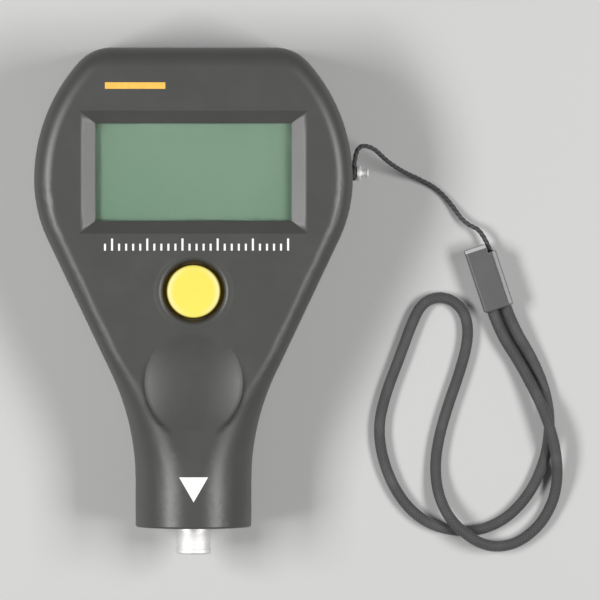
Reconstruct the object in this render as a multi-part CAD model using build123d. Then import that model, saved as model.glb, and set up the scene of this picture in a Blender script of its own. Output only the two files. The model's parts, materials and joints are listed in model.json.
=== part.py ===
from build123d import *
import os
from math import cos, radians, sin, sqrt, tan

"""Handheld gloss meter with a racket-shaped casing, lying on its back.

Millimetres. +X is to the right of someone who reads the display, +Y runs from the handle
to the display end, and +Z comes out of the front face. The origin is on the rear face,
halfway between the end of the probe socket and the display end.
"""

# Casing: plan outline, from the handle up
handle_half_width = 14.5
head_half_width = 39.7
handle_end_y = -56.5
widest_y = 30.4
display_end_y = 63.3
neck_radius = 63.0
taper_angle = 25.4
shoulder_radius = 34.6
crown_radius = 44.0
corner_radius = 11.0

# Casing: section
thickness = 29.0
wall = 2.2
head_edge_radius = 5.2
handle_flat = 0.7
rounding_low_y = -48.0
rounding_high_y = -12.0
handle_end_radius = 0.5
flat_trim = 0.01
station_count = 22
tongue_height = 1.3
tongue_clearance = 0.1
end_wall = 2.6
seam_depth = 0.3
seam_height = 0.3

# Display window, glass and its holder
window_y = 32.3
window_width = 48.8
window_height = 24.2
bevel_depth = 2.0
bevel_side = 4.1
bevel_end = 3.2
ledge_thickness = 0.4
lens_overlap = 2.1
lens_thickness = 1.2
pocket_clearance = 0.1
pad_margin = 2.4
glass_width = 50.8
glass_height = 30.5
glass_thickness = 2.8
glass_step = 0.6
glass_gap = 0.2
frame_rim = 2.2
frame_shelf = 1.5
frame_bar = 0.4
strip_width = 2.4
strip_length = 44.0

# Button and its switch
button_y = 2.65
button_radius = 6.5
button_skirt_radius = 6.8
button_hole_radius = 7.5
button_lip_radius = 0.9
button_proud = 1.0
button_top = 1.8
button_wall = 1.2
button_edge_radius = 0.6
button_travel = 0.8
flange_radius = 8.6
flange_thickness = 1.2
flange_gap = 0.3
stem_radius = 2.6
switch_side = 12.0
switch_corner = 1.0
switch_height = 3.6
switch_floor = 0.6
plunger_radius = 3.2
plunger_clearance = 0.3
plunger_reach = 2.2
plunger_chamfer = 0.4
dome_margin = 0.4
dome_height = 0.25
dome_thickness = 0.1
dome_flat_share = 0.6

# Thumb scoop below the button
scoop_y = -20.3
scoop_radius = 12.9
scoop_depth = 2.1
scoop_half_width = 12.3
scoop_half_length = 13.6
scoop_wall = 1.4

# Circuit board and what stands on it
board_gap = 2.3
board_thickness = 1.6
board_margin = 1.0
board_low_y = -20.0
board_high_y = 59.0
boss_clearance = 1.0
board_hole_clearance = 0.2
chip_side = 12.0
chip_thickness = 1.2
amplifier_length = 6.0
amplifier_width = 4.0
amplifier_y = -13.0
part_row_y = -6.0
part_side_gap = 2.5
crystal_length = 10.0
crystal_width = 4.0
crystal_height = 3.4
crystal_corner = 1.9
capacitor_radius = 2.0
capacitor_height = 5.0
capacitor_pitch = 6.0

# Battery bay, cells and door
bay_low_y = 6.0
bay_length = 50.5
cell_diameter = 10.5
cell_length = 44.5
cell_pitch = 11.0
cell_nub_radius = 1.9
cell_nub_height = 1.2
cell_edge = 0.5
cell_count = 4
cell_lift = 0.35
cell_headroom = 0.25
bay_side_gap = 0.3
bay_wall = 1.4
bay_ceiling = 1.2
plate_thickness = 0.4
plate_side = 8.4
spring_wire = 0.6
spring_radius = 2.6
spring_turns = 3.5
door_thickness = 2.0
door_overlap = 2.2
door_gap = 0.15
door_start_gap = 2.0
rail_reach = 1.0
rail_height = 0.9
rail_gap = 0.1
rail_rib = 1.3
grip_count = 5
grip_start = 4.0
grip_pitch = 2.0
grip_groove = 0.9
grip_depth = 0.5
grip_width = 18.0
lead_diameter = 1.2
lead_clearance = 0.15
lead_reach = 3.0

# Screws that hold the casing and the board
head_screw_inset = 7.6
head_screw_y = 40.0
handle_screw_inset = 8.2
handle_screw_y = -26.5
post_radius = 3.5
boss_radius = 3.0
boss_joint_drop = 1.5
screw_head_radius = 2.3
screw_head_height = 1.8
screw_head_chamfer = 0.7
screw_head_gap = 0.35
screw_core_radius = 1.1
screw_length = 13.0
screw_tip_length = 1.0
screw_tip_radius = 0.3
cross_length = 2.6
cross_width = 0.6
cross_depth = 0.8
screw_fit = 0.05
screw_seat_z = 7.0
board_screw_inset = 8.8
board_screw_low_y = 6.0
board_screw_high_y = 54.0
board_boss_radius = 2.5
board_screw_core = 0.9
board_screw_head_radius = 1.9
board_screw_head_height = 1.3
board_screw_length = 6.0

# Probe socket in the end of the handle
socket_flange_radius = 4.85
socket_flange_thickness = 1.0
socket_radius = 4.2
socket_rim_radius = 4.4
socket_rim_length = 1.2
socket_chamfer = 0.3
socket_reach = 6.8
socket_bore_radius = 3.1
socket_bore_depth = 5.0
socket_insert_radius = 2.9
socket_length = 17.0
socket_key = 0.5
socket_key_width = 1.0
insert_contact_radius = 0.45
insert_contact_circle = 1.6
contact_count = 5
contact_sink = 0.4
contact_bore_depth = 3.0
solder_length = 2.0
washer_radius = 5.6
washer_thickness = 0.5
nut_radius = 6.0
nut_thickness = 2.0
cable_radius = 1.5
plug_inset = 1.0
plug_length = 7.0
plug_width = 9.0
plug_drop = 2.0

# Strap post in the right-hand side of the head
post_y = 31.9
post_z = 11.0
neck_length = 1.25
neck_core_radius = 0.8
post_flange_radius = 1.95
post_flange_thickness = 1.0
post_flange_chamfer = 0.3
post_tip_radius = 1.1
post_tip_length = 2.0
post_tip_waist = 0.15
post_bead_length = 0.6
post_bead_chamfer = 0.2
post_shank_radius = 1.0
post_shank_length = 4.5
post_boss_radius = 2.1

# Wrist strap
string_diameter = 1.2
string_squeeze = 0.02
cord_diameter = 2.8
slider_length = 16.5
slider_width = 7.6
slider_height = 6.0
slider_edge = 0.6
slider_x = 74.3
slider_y = 5.6
slider_lean = 18.4
slider_notch_width = 2.15
slider_notch_depth = 2.2
slider_groove_x = 2.05
slider_groove_width = 0.6
slider_groove_depth = 0.9
slider_bevel_width = 1.2
slider_bevel_drop = 0.5
slider_string_x = 2.6
slider_hole_depth = 3.0
slider_hole_clearance = 0.1
cord_spread = 1.8
run_share = 0.45

# Centre line of the string between the post and the strap slider, as placed by hand
string_route = [
    (40.32, 33.92, 11.0), (40.5, 36.5, 11.0), (41.9, 39.0, 10.5), (45.2, 38.3, 8.9),
    (48.6, 34.9, 6.4), (52.6, 32.3, 3.6), (57.0, 30.3, 1.2), (61.2, 28.1, 0.65),
    (64.8, 24.3, 0.9), (68.2, 19.2, 1.9), (73.169, 17.238, 3.0),
    (75.789, 9.363, 3.0),
]

# Centre line of the wrist cord, out of the slider, round twice and back, as placed by hand
cord_route = [
    (74.265, 0.003, 3.0), (76.901, -7.92, 3.0), (82.1, -15.8, 2.4), (86.2, -23.6, 3.7),
    (88.9, -29.6, 4.65), (91.1, -37.2, 4.65), (91.8, -44.6, 2.9), (90.6, -51.3, 1.5),
    (87.0, -57.3, 1.45), (81.6, -61.4, 1.6), (76.0, -62.4, 2.6), (70.9, -60.8, 4.6),
    (64.9, -55.9, 4.6), (61.7, -49.6, 2.8), (60.8, -42.6, 1.5), (61.6, -35.6, 1.45),
    (63.9, -27.2, 1.45), (67.0, -18.6, 1.45), (69.2, -10.4, 1.45), (68.9, -4.4, 1.45),
    (66.1, -0.5, 1.45), (61.8, 0.9, 1.45), (57.5, -0.9, 1.45), (54.9, -6.2, 1.45),
    (51.9, -14.6, 1.45), (48.3, -24.0, 1.45), (46.5, -32.2, 1.45), (47.7, -40.6, 1.45),
    (51.2, -48.8, 1.45), (56.5, -54.9, 1.45), (63.0, -57.9, 1.45), (71.2, -58.5, 1.45),
    (78.6, -55.5, 1.45), (84.6, -49.2, 1.45), (88.5, -41.0, 1.45), (89.95, -32.3, 1.45),
    (88.9, -23.6, 1.45), (85.5, -14.9, 1.6), (80.19, -6.405, 3.0), (77.681, 1.139, 3.0),
]

# Heights and places that follow from the sizes above
handle_edge_radius = min(handle_half_width, thickness / 2) - handle_flat
parting_z = thickness / 2
ceiling_z = door_thickness + cell_lift + cell_diameter + cell_headroom
board_low_z = ceiling_z + bay_ceiling + board_gap
board_top_z = board_low_z + board_thickness
cover_inside_z = thickness - wall
lens_top_z = thickness - bevel_depth - ledge_thickness
pad_low_z = lens_top_z - lens_thickness
glass_top_z = pad_low_z - glass_gap
glass_low_z = glass_top_z - glass_thickness
button_top_z = thickness + button_proud
flange_top_z = cover_inside_z - flange_gap
flange_low_z = flange_top_z - flange_thickness
switch_top_z = board_top_z + switch_height
plunger_top_z = switch_top_z + plunger_reach
plunger_low_z = board_top_z + switch_floor + dome_height + 2 * dome_thickness + button_travel
bay_high_y = bay_low_y + bay_length
bay_half_width = (cell_count - 1) / 2 * cell_pitch + cell_diameter / 2 + bay_side_gap
bay_y = (bay_low_y + bay_high_y) / 2
door_half_width = bay_half_width + door_overlap
door_low_y = bay_low_y - door_start_gap
joint_z = parting_z - boss_joint_drop
far = 200.0
bite = 0.3
past = 1.0


def box(x0, x1, y0, y1, z0, z1):
    """Block between two corners."""
    size = (x1 - x0, y1 - y0, z1 - z0)
    centre = ((x0 + x1) / 2, (y0 + y1) / 2, (z0 + z1) / 2)
    return Pos(*centre) * Box(*size)


def rod(x, y, z0, z1, radius):
    """Upright cylinder between two heights."""
    return Pos(x, y, (z0 + z1) / 2) * Cylinder(radius, z1 - z0)


def rod_along_y(x, z, y0, y1, radius):
    """Cylinder that lies along Y."""
    return Pos(x, (y0 + y1) / 2, z) * Rot(90, 0, 0) * Cylinder(radius, y1 - y0)


def rod_along_x(y, z, x0, x1, radius):
    """Cylinder that lies along X."""
    return Pos((x0 + x1) / 2, y, z) * Rot(0, 90, 0) * Cylinder(radius, x1 - x0)


def turned(profile, place):
    """Solid of revolution about the Z axis of a place, from (radius, height) corners."""
    face = Plane.XZ * make_face(Polyline(*profile, close=True))
    return place * revolve(face, Axis.Z)


def half_width(y):
    """Half of the casing's width at a station along the handle.

    Straight handle, concave neck arc, straight taper, convex shoulder arc up to the
    widest station, and the side arc of the crown past it.
    """
    slope = radians(taper_angle)
    if y >= widest_y:
        return head_half_width - crown_radius + sqrt(crown_radius**2 - (y - widest_y) ** 2)
    shoulder_x = head_half_width - shoulder_radius + shoulder_radius * cos(slope)
    shoulder_y = widest_y - shoulder_radius * sin(slope)
    if y >= shoulder_y:
        centre = head_half_width - shoulder_radius
        return centre + sqrt(shoulder_radius**2 - (y - widest_y) ** 2)
    neck_x = handle_half_width + neck_radius * (1 - cos(slope))
    neck_y = shoulder_y - (shoulder_x - neck_x) / tan(slope)
    if y >= neck_y:
        return shoulder_x - (shoulder_y - y) * tan(slope)
    straight_y = neck_y - neck_radius * sin(slope)
    if y >= straight_y:
        return handle_half_width + neck_radius - sqrt(neck_radius**2 - (y - straight_y) ** 2)
    return handle_half_width


def edge_radius(y):
    """Radius of the section's corners: large round the handle, easing to the head's."""
    share = min(max((y - rounding_low_y) / (rounding_high_y - rounding_low_y), 0), 1)
    ease = share * share * (3 - 2 * share)
    return handle_edge_radius + (head_edge_radius - handle_edge_radius) * ease


def section(y, inset):
    """Rounded rectangle across the casing at one station, a trim taller than the casing."""
    plane = Plane(origin=(0, y, thickness / 2), x_dir=(1, 0, 0), z_dir=(0, -1, 0))
    width = 2 * (half_width(y) - inset)
    height = thickness - 2 * inset + 2 * flat_trim
    return plane * RectangleRounded(width, height, edge_radius(y) - inset)


def handle_form(inset, low_y):
    """Handle and taper, lofted through sections up to the widest station."""
    step = (widest_y - low_y) / (station_count - 1)
    stations = [low_y + step * i for i in range(station_count + 1)]
    form = loft([section(y, inset) for y in stations])
    return form & box(-far, far, low_y - past, widest_y, -far, far)


def head_form(inset):
    """Head past the widest station: plan outline pushed up, with rounded edges."""
    side = crown_radius - inset
    end_y = display_end_y - inset
    half = head_half_width - inset
    centre_x = head_half_width - crown_radius
    end_x = centre_x + sqrt(side**2 - (end_y - widest_y) ** 2)
    outline = [
        Line((-half, widest_y), (half, widest_y)),
        RadiusArc((half, widest_y), (end_x, end_y), -side),
        Line((end_x, end_y), (-end_x, end_y)),
        RadiusArc((-end_x, end_y), (-half, widest_y), -side),
    ]
    face = make_face(outline)
    ends = face.vertices().sort_by(Axis.Y)[-2:]
    face = fillet(ends, corner_radius - inset)
    low_z = inset - flat_trim
    block = extrude(Pos(0, 0, low_z) * face, thickness - 2 * low_z)
    rims = [
        edge
        for edge in block.edges()
        if abs(abs(edge.center().Z - thickness / 2) - (thickness / 2 - low_z)) < 1e-4
        and edge.center().Y > widest_y + 1e-3
    ]
    return fillet(rims, head_edge_radius - inset)


def rounded_form(inset, low_y):
    """Whole form of the casing, moved inwards by a wall, a trim proud of its flat faces."""
    return handle_form(inset, low_y) + head_form(inset)


def flat_faced(form, inset):
    """A rounded form cut to its flat front and rear faces."""
    return form & box(-far, far, -far, far, inset, thickness - inset)


def casing_form(inset, low_y):
    """Whole outer form of the casing, moved inwards by a wall."""
    return flat_faced(rounded_form(inset, low_y), inset)


outer_form = casing_form(0, handle_end_y)
inner_form = casing_form(wall, handle_end_y + end_wall)
tongue_form = casing_form(wall / 2, handle_end_y + end_wall / 2)
board_form = casing_form(wall + board_margin, handle_end_y + end_wall)

screw_places = [
    (side * (half_width(y) - inset), y)
    for inset, y in ((head_screw_inset, head_screw_y), (handle_screw_inset, handle_screw_y))
    for side in (-1, 1)
]
board_screw_places = [
    (side * (half_width(board_screw_high_y) - board_screw_inset), y)
    for y in (board_screw_low_y, board_screw_high_y)
    for side in (-1, 1)
]


def rounded_outer():
    """Outer form with the rim of the handle's end rounded."""
    form = rounded_form(0, handle_end_y)
    rim = [edge for edge in form.edges() if abs(edge.center().Y - handle_end_y) < 1e-3]
    return flat_faced(fillet(rim, handle_end_radius), 0)


casing_outer = rounded_outer()


def socket_cut():
    """Hole in the end wall, half in each cover."""
    low, high = handle_end_y - past, handle_end_y + end_wall + past
    return rod_along_y(0, parting_z, low, high, socket_radius)


def frustum(width, height, flare_x, flare_y, y, z0, z1):
    """Rectangular opening that widens upwards."""
    low = Plane.XY.offset(z0) * Pos(0, y) * Rectangle(width, height)
    high = Plane.XY.offset(z1) * Pos(0, y) * Rectangle(width + 2 * flare_x, height + 2 * flare_y)
    return loft([low, high], ruled=True)


def window_cut():
    """Bevelled window, straight through the ledge, and the pocket behind for the lens."""
    z0 = thickness - bevel_depth
    bevel = frustum(window_width, window_height, bevel_side, bevel_end, window_y, z0, thickness)
    above = Pos(0, window_y, thickness + past) * Box(
        window_width + 2 * bevel_side, window_height + 2 * bevel_end, 2 * past
    )
    through = Pos(0, window_y, z0) * Box(window_width, window_height, 2 * ledge_thickness + past)
    room = 2 * (lens_overlap + pocket_clearance)
    pocket = box(
        -(window_width + room) / 2, (window_width + room) / 2,
        window_y - (window_height + room) / 2, window_y + (window_height + room) / 2,
        pad_low_z - past, lens_top_z,
    )
    return bevel + above + through + pocket


def scoop_ball(extra):
    """Ball of the thumb scoop, or a larger one round the same centre."""
    ball = (scoop_radius**2 + scoop_depth**2) / (2 * scoop_depth)
    return Pos(0, scoop_y, thickness - scoop_depth + ball) * Sphere(ball + extra)


def scoop_cut():
    """Thumb scoop: the ball within an oval outline, which leaves a low step at its sides."""
    outline = Pos(0, scoop_y, parting_z) * Ellipse(scoop_half_width, scoop_half_length)
    return scoop_ball(0) & extrude(outline, thickness)


def front_cover():
    """Moulded front half: window, button hole, scoop, bosses and the tongue of the joint."""
    upper = box(-far, far, -far, far, parting_z, far)
    shell = (casing_outer & upper) - inner_form
    seam = box(-far, far, -far, far, parting_z, parting_z + seam_height)
    shell -= seam - casing_form(seam_depth, handle_end_y + seam_depth)
    band = box(-far, far, -far, far, parting_z - tongue_height, parting_z + bite)
    tongue_outer = casing_form(wall / 2 + tongue_clearance, handle_end_y + end_wall / 2)
    shell += (tongue_outer & band) - inner_form
    half_x = (window_width + 2 * lens_overlap) / 2 + pad_margin
    half_y = (window_height + 2 * lens_overlap) / 2 + pad_margin
    shell += box(
        -half_x, half_x, window_y - half_y, window_y + half_y, pad_low_z, cover_inside_z + bite
    )
    shell -= window_cut()
    shell += scoop_ball(scoop_wall) & inner_form
    shell -= scoop_cut()
    hole = rod(0, button_y, cover_inside_z - past, thickness + past, button_hole_radius)
    flare = button_hole_radius + button_lip_radius
    lip = turned(
        [(0, 0), (button_hole_radius, 0), (flare, button_lip_radius), (0, button_lip_radius)],
        Pos(0, button_y, thickness - button_lip_radius + 0.01),
    )
    shell -= hole + lip
    for x, y in screw_places:
        shell += rod(x, y, joint_z, cover_inside_z + bite, boss_radius) & outer_form
        top = screw_seat_z + screw_length + past
        shell -= rod(x, y, joint_z - past, top, screw_core_radius + screw_fit)
    for x, y in board_screw_places:
        shell += rod(x, y, board_top_z, cover_inside_z + bite, board_boss_radius)
        top = board_low_z + board_screw_length + past
        shell -= rod(x, y, board_top_z - past, top, board_screw_core + screw_fit)
    return shell - socket_cut()


def battery_well():
    """Walls and ceiling round the cells, with the ribs that the door rails run under."""
    half = bay_half_width + bay_wall
    low_z = door_thickness + rail_gap
    well = box(
        -half, half, bay_low_y - bay_wall, bay_high_y + bay_wall, low_z, ceiling_z + bay_ceiling
    )
    rib = door_half_width + rail_reach + rail_gap + bay_wall
    well += box(-rib, rib, door_low_y, bay_high_y + bay_wall, low_z, low_z + rail_rib)
    return well


def door_recess():
    """Opening for the door in the rear face, with a groove on each side for its rails."""
    half = door_half_width + door_gap
    start = door_low_y - door_gap
    low = door_thickness - rail_height - rail_gap
    high = door_thickness + rail_gap
    cut = box(-half, half, start, far, -past, high)
    reach = half + rail_reach
    return cut + box(-reach, reach, start, far, low, high)


def rear_cover():
    """Moulded rear half: battery well, door rails, screw posts and the groove of the joint."""
    lower = box(-far, far, -far, far, -far, parting_z)
    shell = (casing_outer & lower) - inner_form
    shell += battery_well() & outer_form
    shell -= tongue_form & box(
        -far, far, -far, far, parting_z - tongue_height - tongue_clearance, far
    ) - box(
        -bay_half_width - bay_wall, bay_half_width + bay_wall,
        bay_low_y - bay_wall, bay_high_y + bay_wall, -far, far,
    )
    shell -= box(-bay_half_width, bay_half_width, bay_low_y, bay_high_y, -past, ceiling_z)
    shell -= door_recess()
    lead_hole = lead_diameter / 2 + lead_clearance
    for x in lead_places():
        shell -= rod_along_y(x, lead_z(), bay_low_y - bay_wall - past, bay_low_y + past, lead_hole)
    for x, y in screw_places:
        shell += rod(x, y, 0, joint_z, post_radius) & casing_outer
        shell -= rod(x, y, -past, screw_seat_z, screw_head_radius + screw_head_gap)
        shell -= rod(x, y, -past, joint_z + past, screw_core_radius + screw_fit)
    boss_x = half_width(post_y) - wall
    shell += rod_along_x(post_y, post_z, boss_x - post_shank_length, boss_x + bite, post_boss_radius)
    shell -= rod_along_x(post_y, post_z, boss_x - post_shank_length, far, post_shank_radius + screw_fit)
    return shell - socket_cut()


def battery_door():
    """Sliding door: a plate whose far end follows the casing, two rails and grip grooves."""
    half = door_half_width
    plate = outer_form & box(-half, half, door_low_y, far, -past, door_thickness)
    reach = half + rail_reach
    rails = box(-reach, reach, door_low_y, bay_high_y, door_thickness - rail_height, door_thickness)
    door = plate + (rails & outer_form)
    for i in range(grip_count):
        y = door_low_y + grip_start + i * grip_pitch
        door -= box(-grip_width / 2, grip_width / 2, y, y + grip_groove, -past, grip_depth)
    return door


def display_window():
    """Clear window, seated against the ledge."""
    half_x = window_width / 2 + lens_overlap
    half_y = window_height / 2 + lens_overlap
    return box(-half_x, half_x, window_y - half_y, window_y + half_y, pad_low_z, lens_top_z)


def glass_block(margin, z0, z1):
    """Block over the display glass with a margin all round."""
    half_x = glass_width / 2 + margin
    half_y = glass_height / 2 + margin
    return box(-half_x, half_x, window_y - half_y, window_y + half_y, z0, z1)


def strip_block(side, clearance, z0, z1):
    """Block along one long edge of the display glass, for a connector strip or its slot."""
    y = window_y + side * (glass_height / 2 - strip_width)
    half = strip_width / 2 + clearance
    reach = strip_length / 2 + clearance
    return box(-reach, reach, y - half, y + half, z0, z1)


def lcd_panel():
    """Display glass: two plates, the upper one shorter, as the contact ledge needs."""
    step = glass_thickness / 2
    lower = glass_block(0, glass_low_z, glass_low_z + step)
    return lower + glass_block(-glass_step, glass_low_z + step, glass_top_z)


def lcd_frame():
    """Holder with a rim round the glass, a shelf under it and two slots for the strips."""
    frame = glass_block(frame_rim, board_top_z, glass_top_z + glass_gap / 2)
    frame -= glass_block(pocket_clearance, glass_low_z, far)
    inner_x = glass_width / 2 - frame_shelf
    inner_y = glass_height / 2 - 2 * strip_width - frame_bar
    frame -= box(-inner_x, inner_x, window_y - inner_y, window_y + inner_y, 0, far)
    for side in (-1, 1):
        frame -= strip_block(side, pocket_clearance, 0, far)
    return frame


def lcd_strip(side):
    """Rubber connector strip between the board and the glass."""
    return strip_block(side, 0, board_top_z, glass_low_z)


def button_place(z):
    """Place on the button's axis at a height."""
    return Pos(0, button_y, z)


def measure_button():
    """Moulded cap: crowned top, thin skirt, flange that catches under the cover, and stem."""
    top = button_top_z
    inner = button_radius - button_wall
    profile = [
        (0, plunger_top_z), (stem_radius, plunger_top_z), (stem_radius, top - button_top),
        (inner, top - button_top), (inner, flange_low_z), (flange_radius, flange_low_z),
        (flange_radius, flange_top_z), (button_skirt_radius, flange_top_z),
        (button_radius, top), (0, top),
    ]
    cap = turned(profile, button_place(0))
    rim = [
        edge
        for edge in cap.edges().filter_by(GeomType.CIRCLE)
        if abs(edge.center().Z - top) < 1e-4
    ]
    return fillet(rim, button_edge_radius)


def switch_plunger():
    """Post of the push switch, which the stem of the cap presses."""
    low, high = plunger_low_z, plunger_top_z
    profile = [
        (0, low), (plunger_radius, low), (plunger_radius, high - plunger_chamfer),
        (plunger_radius - plunger_chamfer, high), (0, high),
    ]
    return turned(profile, button_place(0))


def switch_body():
    """Square switch housing with rounded corners and a bore for the plunger."""
    half = switch_side / 2
    body = box(-half, half, button_y - half, button_y + half, board_top_z, switch_top_z)
    body = fillet(body.edges().filter_by(Axis.Z), switch_corner)
    floor = board_top_z + switch_floor
    return body - rod(0, button_y, floor, switch_top_z + past, plunger_radius + plunger_clearance)


def switch_dome():
    """Snap disc on the switch's floor, crowned in the middle."""
    floor = board_top_z + switch_floor
    radius = plunger_radius - dome_margin
    flat = radius * dome_flat_share
    crown = floor + dome_height
    profile = [
        (0, crown), (0, crown + dome_thickness), (flat, crown),
        (radius, floor + dome_thickness), (radius, floor), (flat, crown - dome_thickness),
    ]
    return turned(profile, button_place(0))


def circuit_board():
    """Board that follows the inside of the casing, with holes for bosses and screws."""
    slab = box(-far, far, board_low_y, board_high_y, board_low_z, board_top_z)
    board = board_form & slab
    for x, y in screw_places:
        board -= rod(x, y, 0, far, boss_radius + boss_clearance)
    for x, y in board_screw_places:
        board -= rod(x, y, 0, far, board_screw_core + board_hole_clearance)
    return board


def on_board(x, y, length, width, height):
    """Block that stands on the board with its middle at a place."""
    z = board_top_z + height / 2
    return Pos(x, y, z) * Box(length, width, height)


def part_row_reach():
    """How far to each side the row of parts beside the switch may stand."""
    return half_width(part_row_y) - wall - part_side_gap


def processor_chip():
    """Main chip, on the board under the display."""
    return on_board(0, window_y, chip_side, chip_side, chip_thickness)


def amplifier_chip():
    """Small amplifier chip near the cable's plug."""
    return on_board(0, amplifier_y, amplifier_length, amplifier_width, chip_thickness)


def timing_crystal():
    """Flat can of the crystal, beside the switch."""
    x = part_row_reach() - crystal_length / 2
    can = on_board(x, part_row_y, crystal_length, crystal_width, crystal_height)
    return fillet(can.edges().filter_by(Axis.Z), crystal_corner)


def board_capacitors():
    """Two upright capacitors on the other side of the switch."""
    low, high = board_top_z, board_top_z + capacitor_height
    outer = capacitor_radius - part_row_reach()
    places = [outer, outer + capacitor_pitch]
    return Part() + [rod(x, part_row_y, low, high, capacitor_radius) for x in places]


def cell_places():
    """Middle of each cell across the bay, and which end of it points to the handle."""
    middle = (cell_count - 1) / 2
    return [((i - middle) * cell_pitch, 1 if i % 2 == 0 else -1) for i in range(cell_count)]


def cell_height():
    """Height of the cells' axes."""
    return door_thickness + cell_lift + cell_diameter / 2


def battery_cell(x, way):
    """Round cell with its raised end; way 1 has the flat end towards the handle."""
    z = cell_height()
    radius = cell_diameter / 2
    body_length = cell_length - cell_nub_height
    flat_y = -cell_length / 2
    profile = [
        (0, 0), (radius - cell_edge, 0), (radius, cell_edge), (radius, body_length - cell_edge),
        (radius - cell_edge, body_length), (cell_nub_radius, body_length),
        (cell_nub_radius, cell_length), (0, cell_length),
    ]
    shift = spring_gap() / 2 * way
    place = Pos(x, bay_y + shift, z) * Rot(0, 0, 0 if way > 0 else 180) * Pos(0, flat_y, 0)
    return turned(profile, place * Rot(-90, 0, 0))


def spring_gap():
    """Room that a contact spring fills between its plate and the cell."""
    return bay_length - cell_length - 2 * plate_thickness


def contact_springs():
    """Coil springs at the flat end of each cell."""
    springs = []
    for x, way in cell_places():
        wire = spring_wire / 2
        height = spring_gap() - spring_wire
        start = bay_y - way * (bay_length / 2 - plate_thickness - wire)
        coil = Helix(height / spring_turns, height, spring_radius)
        face = Plane(origin=coil @ 0, z_dir=coil % 0) * Circle(wire)
        spring = sweep(face, path=coil, is_frenet=True)
        springs.append(Pos(x, start, cell_height()) * Rot(-90 * way, 0, 0) * spring)
    return Part() + springs


def contact_plates():
    """Plates on the bay's end walls: singles at the handle's end, and links between cells."""
    z = cell_height()
    half = plate_side / 2
    low, high = bay_low_y, bay_high_y
    near = [cell_places()[i][0] for i in (0, 3)]
    plates = [box(x - half, x + half, low, low + plate_thickness, z - half, z + half) for x in near]
    middle = cell_pitch / 2 + half
    plates.append(box(-middle, middle, low, low + plate_thickness, z - half, z + half))
    for side in (-1, 1):
        x = side * cell_pitch
        reach = cell_pitch / 2 + half
        plates.append(box(x - reach, x + reach, high - plate_thickness, high, z - half, z + half))
    return Part() + plates


def lead_places():
    """Where the two battery leads cross the end wall of the bay."""
    return [cell_places()[i][0] for i in (0, 3)]


def lead_z():
    """Height at which the battery leads cross the end wall."""
    return cell_height() + plate_side / 4


def route_tube(points, diameter, name):
    """Round tube along straight runs joined by tangent arcs, as large as the runs allow."""
    corners = [Vector(*point) for point in points]
    radii = []
    for before, at, after in zip(corners, corners[1:], corners[2:]):
        turn = radians((at - before).get_angle(after - at))
        shorter = min((at - before).length, (after - at).length)
        radii.append(run_share * shorter / tan(turn / 2))
    path = FilletPolyline(*points, radius=radii)
    face = Plane(origin=path @ 0, z_dir=path % 0) * Circle(diameter / 2)
    tube = sweep(face, path=path)
    expected = path.length * face.area
    print(
        name, "length", round(path.length, 1), "volume share", round(tube.volume / expected, 4),
        "least radius", round(min(radii), 1), "radii", [round(r, 1) for r in radii],
    )
    return tube


def battery_leads():
    """Two insulated leads from the near plates, out through the wall and up to the board."""
    tubes = []
    for x in lead_places():
        inner = (x, bay_low_y, lead_z())
        bend_y = bay_low_y - bay_wall - lead_reach
        outer = (x, bend_y, lead_z())
        top = (x, bend_y, board_low_z)
        tubes.append(route_tube([inner, outer, top], lead_diameter, "battery lead"))
    return Part() + tubes


def housing_screw(x, y):
    """Pan-head screw from the rear cover into the front cover, with a cross slot."""
    seat = screw_seat_z
    head = screw_head_radius
    low = seat - screw_head_height
    top = seat + screw_length
    profile = [
        (0, low), (head - screw_head_chamfer, low), (head, low + screw_head_chamfer),
        (head, seat), (screw_core_radius, seat), (screw_core_radius, top - screw_tip_length),
        (screw_tip_radius, top), (0, top),
    ]
    screw = turned(profile, Pos(x, y, 0))
    slot = Box(cross_length, cross_width, 2 * cross_depth)
    return screw - Pos(x, y, low) * (slot + Rot(0, 0, 90) * slot)


def housing_screws():
    """The four screws of the casing."""
    return Part() + [housing_screw(x, y) for x, y in screw_places]


def board_screws():
    """Four small screws from behind the board into the front cover's bosses."""
    z = board_low_z
    profile = [
        (0, z - board_screw_head_height), (board_screw_head_radius, z - board_screw_head_height),
        (board_screw_head_radius, z), (board_screw_core, z),
        (board_screw_core, z + board_screw_length), (0, z + board_screw_length),
    ]
    return Part() + [turned(profile, Pos(x, y, 0)) for x, y in board_screw_places]


def socket_place():
    """Place on the socket's axis, at the outer face of the handle's end, looking out."""
    return Pos(0, handle_end_y, parting_z) * Rot(90, 0, 0)


def socket_shell():
    """Plated barrel: threaded body through the end wall, flange, and a rimmed mouth."""
    reach, flange = socket_reach, socket_flange_thickness
    inside = reach - socket_length
    step = reach - socket_bore_depth
    profile = [
        (socket_bore_radius, step), (socket_insert_radius, step),
        (socket_insert_radius, inside), (socket_radius, inside), (socket_radius, 0),
        (socket_flange_radius, 0), (socket_flange_radius, flange), (socket_radius, flange),
        (socket_radius, reach - socket_rim_length), (socket_rim_radius, reach - socket_rim_length),
        (socket_rim_radius, reach - socket_chamfer), (socket_rim_radius - socket_chamfer, reach),
        (socket_bore_radius, reach),
    ]
    shell = turned(profile, socket_place())
    key = Box(socket_key_width, 2 * socket_key, 2 * socket_bore_depth)
    key = Pos(0, socket_bore_radius, reach) * key
    return shell - socket_place() * key


def contact_places():
    """Contacts on a circle round the socket's axis."""
    return PolarLocations(insert_contact_circle, contact_count).local_locations


def socket_insert():
    """Insulator inside the barrel, with a hole for each contact."""
    front = socket_reach - socket_bore_depth
    back = socket_reach - socket_length
    insert = Pos(0, 0, (front + back) / 2) * Cylinder(socket_insert_radius, front - back)
    for place in contact_places():
        insert -= place * Pos(0, 0, (front + back) / 2) * Cylinder(insert_contact_radius, far)
    return socket_place() * insert


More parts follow.
